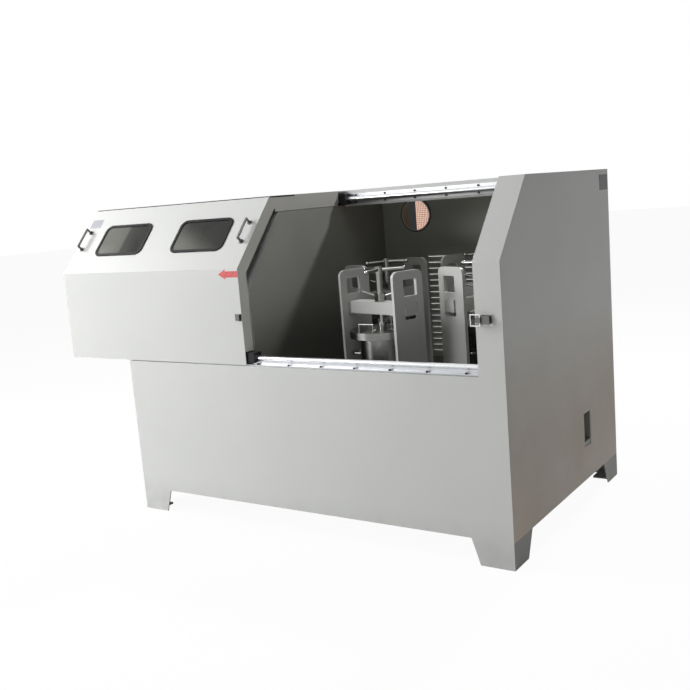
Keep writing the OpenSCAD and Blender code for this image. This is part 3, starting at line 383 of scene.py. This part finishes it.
# panels with a duller paint on the chamber side, darkened with painted shade that is full below lowZ and
# fades out by highZ: each axis, side, and where that side starts (the roof is also rougher than the
# other panels)
duller = {"tone": "inside", "shade": "insideShade", "lowZ": 0.66, "highZ": 0.98}
linings = {
    "rear_panel": {"where": [("Y", -1, 0.5665)], "tone": "rear", "shade": "rearShade",
                   "lowZ": 0.3, "highZ": 0.7},
    "left_compartment": {**duller, "where": [("X", 1, -0.0385)]},
    "right_side_panel": {**duller, "where": [("X", -1, 1.055)]},
    "front_panel": {**duller, "where": [("Y", 1, -0.5465), ("Z", -1, 1.04)]},
    "roof_panel": {**duller, "where": [("Z", -1, 1.3142), ("Y", 1, 0.2438)], "roughness": 0.72},
}
# painted shade on the faces that look to the right, away from the lamps: of the right side (where the
# warm tone low down is a painted reflection of the floor), the feet and the hood
shadeOnRight = {
    "right_side_panel": {"fullZ": 0.3, "fadeZ": 0.65, "strength": 0.85, "colour": (0.36, 0.29, 0.225)},
    "feet": {"fullZ": 0.2, "fadeZ": 0.1, "strength": 0.8, "colour": (0.09, 0.083, 0.07)},
    "hood_shell": {"fullZ": 1.4, "fadeZ": 0.1, "strength": 0.55, "colour": (0.40, 0.385, 0.34)},
}
for name in sorted(set(linings) | set(shadeOnRight)):
    lining = linings.get(name, {})
    finishes[name] = powderCoat(name + "Enamel", paintTones["enamel"], paintTones["enamelShade"],
                                lining.get("roughness", powder["roughness"]), lining,
                                shadeOnRight.get(name))

finishes["louvre_panel"] = chamberCoat("louvrePaint", paintTones["rear"], paintTones["rearShade"])
finishes["latch_keeper"] = finishes["latch_lever"]

for name, node in nodes.items():
    slotName = node.material_slots[0].material.name.split(".")[0]
    node.material_slots[0].material = finishes.get(name, finishes[slotName])
print("stage: finishes on", len(nodes), "nodes")


# mesh pieces
def addObject(name, data):
    made = bpy.data.objects.new(name, data)
    bpy.context.scene.collection.objects.link(made)
    return made


def meshObject(name, shape, finish):
    mesh = bpy.data.meshes.new(name)
    shape.to_mesh(mesh)
    shape.free()
    mesh.materials.append(finish)
    return addObject(name, mesh)


def piece(name, shape, body, finish):
    bmesh.ops.recalc_face_normals(shape, faces=shape.faces)
    made = meshObject(name, shape, finish)
    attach(made, body)


# the side faces between two rings of corners
def joinRings(shape, near, far):
    for index in range(len(near)):
        after = (index + 1) % len(near)
        shape.faces.new([near[index], near[after], far[after], far[index]])


# a flat plate from an outline in its own plane, thickness along the plane's normal
def cutPlate(outline, thickness, place, across, up):
    normal = across.cross(up).normalized()
    shape = bmesh.new()
    low = [shape.verts.new(place + across * x + up * y) for x, y in outline]
    top = [shape.verts.new(place + across * x + up * y + normal * thickness) for x, y in outline]
    shape.faces.new(list(reversed(low)))
    shape.faces.new(top)
    joinRings(shape, low, top)
    return shape


# a rectangle with round corners, about its middle
def roundedOutline(width, height, radius, steps=6):
    right, top = width / 2 - radius, height / 2 - radius
    outline = []
    for x, y, start in ((right, top, 0), (-right, top, 90), (-right, -top, 180), (right, -top, 270)):
        for step in range(steps + 1):
            turn = math.radians(start + 90 * step / steps)
            outline.append((x + radius * math.cos(turn), y + radius * math.sin(turn)))
    return outline


alongX, alongY, alongZ = Vector((1, 0, 0)), Vector((0, 1, 0)), Vector((0, 0, 1))
hoodLow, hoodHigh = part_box("hood_shell")
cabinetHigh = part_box("front_panel")[1]

# the red arrow stuck to the hood's front, which shows the way it slides
arrow = {"length": 0.098, "head": 0.036, "width": 0.040, "shaft": 0.024, "inset": 0.0015,
         "centreZ": 1.0270, "thickness": 0.0004, "colour": (0.69, 0.13, 0.13),
         "shade": (0.58, 0.1, 0.105), "gloss": 0.35, "roughness": 0.45}


def slideArrow(about):
    ink = Finish("arrowFilm", Specular_IOR_Level=about["gloss"])
    worn = ink.ramp(ink.noise(60, detail=5), [(0.4, 0), (0.7, 1)])
    material = ink.paint(ink.blend(worn, about["colour"], about["shade"]),
                         about["roughness"] + worn * 0.1)
    half, shaft = about["width"] / 2, about["shaft"] / 2
    neck = about["head"] - about["length"]
    outline = [(0, -shaft), (0, shaft), (neck, shaft), (neck, half), (-about["length"], 0),
               (neck, -half), (neck, -shaft)]
    place = Vector((hoodHigh.x - about["inset"], hoodLow.y, about["centreZ"]))
    shape = cutPlate(outline, about["thickness"], place, alongX, alongZ)
    piece("slide_arrow", shape, "hood", material)


slideArrow(arrow)


# a bare plate with round corners and a faintly worn film
def barePlate(name, about, place, across, up, body):
    film = Finish(name + "Film", Specular_IOR_Level=about["gloss"])
    worn = film.ramp(film.noise(40, detail=4), [(0.35, 0), (0.7, 1)])
    material = film.paint(film.blend(worn, about["colour"], about["shade"]),
                          about["roughness"] + worn * 0.1, film.noise(600, detail=2), 0.00003)
    outline = roundedOutline(about["width"], about["height"], about["radius"])
    shape = cutPlate(outline, about["thickness"], place, across, up)
    piece(name, shape, body, material)


# the hood's slope: the height of its foot, and its run from front to back
slope = {"lowZ": 1.048, "run": 0.242}
slopeTopY = hoodLow.y + slope["run"]
slopeUp = (Vector((0, slopeTopY, hoodHigh.z)) - Vector((0, hoodLow.y, slope["lowZ"]))).normalized()

# the grey plate on the hood's slope
hoodPlate = {"width": 0.070, "height": 0.047, "radius": 0.003, "thickness": 0.0006,
             "centreX": -1.0085, "alongSlope": 0.278, "colour": (0.36, 0.364, 0.405),
             "shade": (0.315, 0.32, 0.355), "gloss": 0.4, "roughness": 0.4}
platePlace = Vector((hoodPlate["centreX"], hoodLow.y, slope["lowZ"])) + slopeUp * hoodPlate["alongSlope"]
barePlate("hood_plate", hoodPlate, platePlace, alongX, slopeUp, "hood")

# the black plate high on the right side
sidePlate = {"width": 0.106, "height": 0.062, "radius": 0.002, "thickness": 0.0001,
             "centreY": 0.5095, "centreZ": 1.2635, "colour": (0.02, 0.021, 0.02),
             "shade": (0.045, 0.046, 0.043), "gloss": 0.4, "roughness": 0.4}
sidePlace = Vector((cabinetHigh.x, sidePlate["centreY"], sidePlate["centreZ"]))
barePlate("side_plate", sidePlate, sidePlace, alongY, alongZ, "cabinet")
print("stage: plates and arrow")

# pressed louvre lips: one in front of each slot of the louvre panel, open at its lower edge
louvres = {"count": 17, "pitch": 0.028, "slot": 0.008, "inset": 0.020, "sideInset": 0.040,
           "reach": 0.008, "lap": 0.001, "drop": 0.006, "sheet": 0.0012, "lean": 0.4, "steps": 6}


def louvreLips(about):
    low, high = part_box("louvre_panel")
    left, right = low.x + about["sideInset"], high.x - about["sideInset"]
    firstZ = low.z + about["inset"] + about["pitch"] / 2
    shape = bmesh.new()
    for index in range(about["count"]):
        topZ = firstZ + index * about["pitch"] + about["slot"] / 2 + about["lap"]
        rows = []
        for step in range(about["steps"] + 1):
            turn = math.radians(90 * step / about["steps"])
            y = low.y - about["reach"] * math.sin(turn)
            z = topZ - about["drop"] * (1 - math.cos(turn))
            backY, backZ = y + about["sheet"], z - about["sheet"] * about["lean"]
            rows.append([shape.verts.new(corner) for corner in (
                (left, y, z), (right, y, z), (right, backY, backZ), (left, backY, backZ))])
        for upper, lower in zip(rows, rows[1:]):
            joinRings(shape, upper, lower)
        shape.faces.new(rows[0])
        shape.faces.new(list(reversed(rows[-1])))
    piece("louvre_lips", shape, "cabinet", finishes["louvre_steel"])


louvreLips(louvres)


# fine copper gauze over the open half of the port
def portGauze(about):
    gauze = Finish("copperGauze", Transmission_Weight=1.0, IOR=1.02, Specular_IOR_Level=0.1)
    weave = gauze.ramp(gauze.noise(160, detail=4), [(0.35, 0), (0.65, 1)])
    tone = gauze.blend(weave, about["gauze"], about["gauzeShade"])
    material = gauze.paint(tone, about["gauzeRough"])
    low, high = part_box("vent_port")
    centre = (low + high) / 2
    turns = [math.pi * step / about["gauzeSteps"] for step in range(about["gauzeSteps"] + 1)]
    outline = [(math.sin(turn) * about["meshRadius"], math.cos(turn) * about["meshRadius"])
               for turn in turns]
    place = Vector((centre.x, high.y - about["gauzeDepth"], centre.z))
    shape = cutPlate(outline, about["gauzeSheet"], place, alongX, alongZ)
    piece("port_gauze", shape, "cabinet", material)


portGauze(port)

# sealing strips below the level part of the hood's end flanges, which they lap by a hair
seal = {"width": 0.0125, "thickness": 0.002, "start": 0.03, "end": 0.058, "flange": 0.052,
        "lap": 0.0005}


def hoodSeals(about):
    topZ = hoodHigh.z - about["flange"] + about["lap"]
    lowZ = topZ - about["width"]
    frontY, backY = slopeTopY + about["start"], hoodHigh.y - about["end"]
    corners = [(frontY, topZ), (backY, topZ), (backY, lowZ), (frontY, lowZ)]
    shape = bmesh.new()
    for x in (hoodLow.x, hoodHigh.x - about["thickness"]):
        near = [shape.verts.new((x, y, z)) for y, z in corners]
        far = [shape.verts.new((x + about["thickness"], y, z)) for y, z in corners]
        shape.faces.new(near)
        shape.faces.new(list(reversed(far)))
        joinRings(shape, near, far)
    piece("hood_seals", shape, "hood", finishes["hood_shell"])


hoodSeals(seal)

# black rubber edging along the top of the hood's slope and of its right end flange
edging = {"width": 0.0045, "thickness": 0.0007, "below": 0.0006, "endInset": 0.004, "flangeRun": 0.17,
          "flangeWidth": 0.005}


def edgeStrip(name, length, width, thickness, place, across, up):
    outline = [(0, -width), (length, -width), (length, 0), (0, 0)]
    shape = cutPlate(outline, thickness, place, across, up)
    piece(name, shape, "hood", finishes["gasket_rubber"])


def rubberEdging(about):
    topZ = hoodHigh.z - about["below"]
    length = hoodHigh.x - hoodLow.x - 2 * about["endInset"]
    place = Vector((0, slopeTopY, topZ)) + Vector((hoodLow.x + about["endInset"], 0, 0))
    edgeStrip("slope_edging", length, about["width"], about["thickness"], place, alongX, slopeUp)
    edgeStrip("flange_edging", about["flangeRun"], about["flangeWidth"], about["thickness"],
              Vector((hoodHigh.x, slopeTopY, topZ)), alongY, alongZ)


rubberEdging(edging)
print("stage: louvre lips, gauze, seals and edging")

# the studio: a pale floor, a white surround and five soft lamps, with their power in watts
studio = {"floorSize": 60.0, "floorTone": (0.86, 0.86, 0.85), "floorGlow": 0.955, "ambient": 0.03}

lamps = {
    "keyLamp": {"place": (-3.0, -4.0, 2.2), "aim": (0.1, -0.2, 0.75), "size": 2.0, "power": 99},
    "leftLamp": {"place": (-4.0, -2.0, 3.4), "aim": (-0.3, -0.3, 0.9), "size": 2.0, "power": 194},
    "topLamp": {"place": (1.0, 2.8, 4.0), "aim": (0.2, 0.0, 0.9), "size": 0.4, "power": 150},
    "skyLamp": {"place": (1.2, -1.5, 4.5), "aim": (0.3, -0.1, 0.9), "size": 1.5, "power": 22},
    "rearLamp": {"place": (-1.6, 4.4, 2.8), "aim": (0.0, 0.5, 0.6), "size": 2.0, "power": 42},
}


# 1 for the rays that are to meet white: the camera's, and those that metal and glass send on
def whiteRays(maker):
    camera, glossy, through = [maker.node("LightPath", out="Is " + kind + " Ray")
                               for kind in ("Camera", "Glossy", "Transmission")]
    return (camera + glossy).maths("ADD", through, clamp=True)


def studioFloor(about):
    floor = Finish("studioFloor", Roughness=0.9, Specular_IOR_Level=0.1)
    floor.feed(floor.shader.inputs["Base Color"], (*about["floorTone"], 1))
    joined = floor.node("MixShader", values={
        0: whiteRays(floor) * about["floorGlow"], 1: Wire(floor, floor.shader.outputs[0]),
        2: floor.node("Emission", values={"Strength": 1.0})})
    output = next(node for node in floor.tree.nodes if node.type == "OUTPUT_MATERIAL")
    floor.feed(output.inputs["Surface"], joined)
    half = about["floorSize"] / 2
    corners = [(-half, -half, 0), (half, -half, 0), (half, half, 0), (-half, half, 0)]
    shape = bmesh.new()
    shape.faces.new([shape.verts.new(corner) for corner in corners])
    meshObject("studio_floor", shape, floor.material)


def softLamp(name, about):
    lamp = bpy.data.lights.new(name, "AREA")
    lamp.shape = "DISK"
    lamp.size = about["size"]
    lamp.energy = about["power"]
    made = addObject(name, lamp)
    made.location = about["place"]
    direction = Vector(about["aim"]) - Vector(about["place"])
    made.rotation_euler = direction.to_track_quat("-Z", "Y").to_euler()


def surround(about):
    world = bpy.data.worlds.new("studioSurround")
    bpy.context.scene.world = world
    world.use_nodes = True
    sky = NodeMaker(world.node_tree)
    strength = sky.node("MapRange", values={"Value": whiteRays(sky), "To Min": about["ambient"],
                                            "To Max": 1.0})
    background = sky.tree.nodes["Background"]
    sky.feed(background.inputs["Color"], (1, 1, 1, 1))
    sky.feed(background.inputs["Strength"], strength)


studioFloor(studio)
for name, lamp in lamps.items():
    softLamp(name, lamp)
surround(studio)

# the camera that matches the photo: its turn in degrees, its lens and sensor in millimetres
view = {"place": (2.2602, -3.2137, 1.2887), "turn": (80.689, 4.577, 33.621), "lens": 47.24,
        "sensor": 36}
optics = bpy.data.cameras.new("photoCamera")
optics.lens = view["lens"]
optics.sensor_width = view["sensor"]
camera = addObject("photoCamera", optics)
camera.location = view["place"]
camera.rotation_euler = Euler([math.radians(angle) for angle in view["turn"]], "XYZ")
bpy.context.scene.camera = camera
bpy.context.scene.view_settings.view_transform = "Standard"
print("stage: studio and camera")
